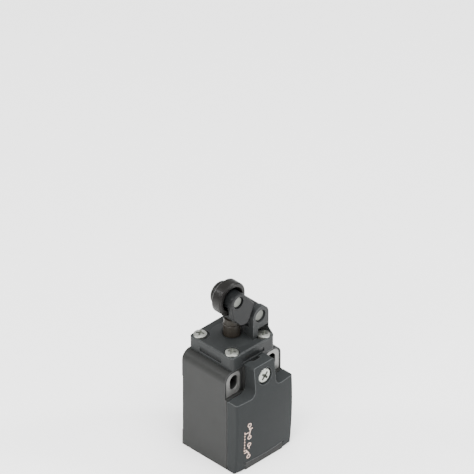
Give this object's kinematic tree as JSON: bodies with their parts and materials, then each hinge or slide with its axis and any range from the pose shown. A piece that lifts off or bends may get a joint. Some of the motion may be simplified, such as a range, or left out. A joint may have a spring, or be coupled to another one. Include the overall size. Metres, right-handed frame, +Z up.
{
  "type": "limit switch",
  "caption": "Compact limit switch: box housing with hinged screw-down cover, fixing slots, threaded conduit entry and a roller lever head over a plunger.",
  "frame": {"origin": "midway between the two fixing slots, on the back mounting face", "axes": "+Y into the surface the switch is mounted on, -Y towards its cover, +Z up towards the lever, +X to the right seen from the cover"},
  "size_m": [0.03, 0.0306, 0.0772],
  "materials": {
    "housing": "fine-textured dark grey glass-reinforced technopolymer",
    "cover": "fine-textured dark grey glass-reinforced technopolymer",
    "head": "fine-textured dark grey glass-reinforced technopolymer",
    "lever": "dark grey technopolymer",
    "roller": "brown-black moulded polymer with turned rim",
    "plunger": "brown-black moulded polymer",
    "rubber": "black nitrile rubber",
    "plate_metal": "satin zinc-plated steel plate",
    "zinc_screw": "bright zinc-plated steel",
    "steel_pin": "turned stainless steel",
    "spring_steel": "drawn stainless spring wire",
    "brass": "brass",
    "clamp_metal": "zinc-plated steel",
    "block_plastic": "ivory thermoset",
    "block_cover_plastic": "dark red moulded plastic"
  },
  "bodies": {
    "base": {"housing": "housing", "fixing_plate_left": "plate_metal", "fixing_plate_right": "plate_metal", "cover_screw_insert": "brass", "head_screw_inserts": "brass", "head": "head", "head_gasket": "rubber", "head_screws": "zinc_screw", "plunger_bush": "plunger", "plunger_seal": "rubber", "pivot_pin": "steel_pin", "contact_block_base": "block_plastic", "contact_block_cover": "block_cover_plastic", "contact_block_screws": "zinc_screw", "terminal_bars": "brass", "terminal_screws": "zinc_screw", "terminal_clamps": "clamp_metal", "carrier_spring": "spring_steel"},
    "lever_body": {"lever": "lever", "lever_bush": "steel_pin", "roller_pin": "steel_pin"},
    "roller_body": {"roller": "roller", "roller_bush": "roller"},
    "plunger_body": {"plunger": "plunger", "plunger_spring": "spring_steel"},
    "carrier_body": {"contact_carrier": "block_plastic", "contact_bridges": "brass", "upper_contact_spring": "spring_steel", "lower_contact_spring": "spring_steel"},
    "cover_body": {"cover": "cover", "cover_gasket": "rubber", "cover_screw": "zinc_screw", "captive_ring": "rubber"}
  },
  "joints": [
    {"name": "lever_pivot", "type": "hinge", "parent": "base", "child": "lever_body", "pos_m": [0.0071, -0.0118, 0.02085], "axis": [0, -1, 0], "range_deg": [0, 22], "stiffness_Nm_per_rad": 0.05, "springref_deg": -11.46},
    {"name": "roller_spin", "type": "hinge", "parent": "lever_body", "child": "roller_body", "pos_m": [-0.0041, -0.01245, 0.0323], "axis": [0, 1, 0], "continuous": true},
    {"name": "plunger_slide", "type": "slide", "parent": "base", "child": "plunger_body", "axis": [0, 0, -1], "range_m": [0, 0.00362], "deforming": ["plunger_spring"]},
    {"name": "carrier_slide", "type": "slide", "parent": "base", "child": "carrier_body", "axis": [0, 0, -1], "range_m": [0, 0.00362], "deforming": ["carrier_spring"]},
    {"name": "cover_hinge", "type": "hinge", "parent": "base", "child": "cover_body", "pos_m": [0, -0.0279, -0.0369], "axis": [1, 0, 0], "range_deg": [0, 84]}
  ],
  "couplings": [
    {"joint": "plunger_slide", "follows": "lever_pivot", "m_per_rad": 0.0093757},
    {"joint": "carrier_slide", "follows": "lever_pivot", "m_per_rad": 0.0093757}
  ]
}
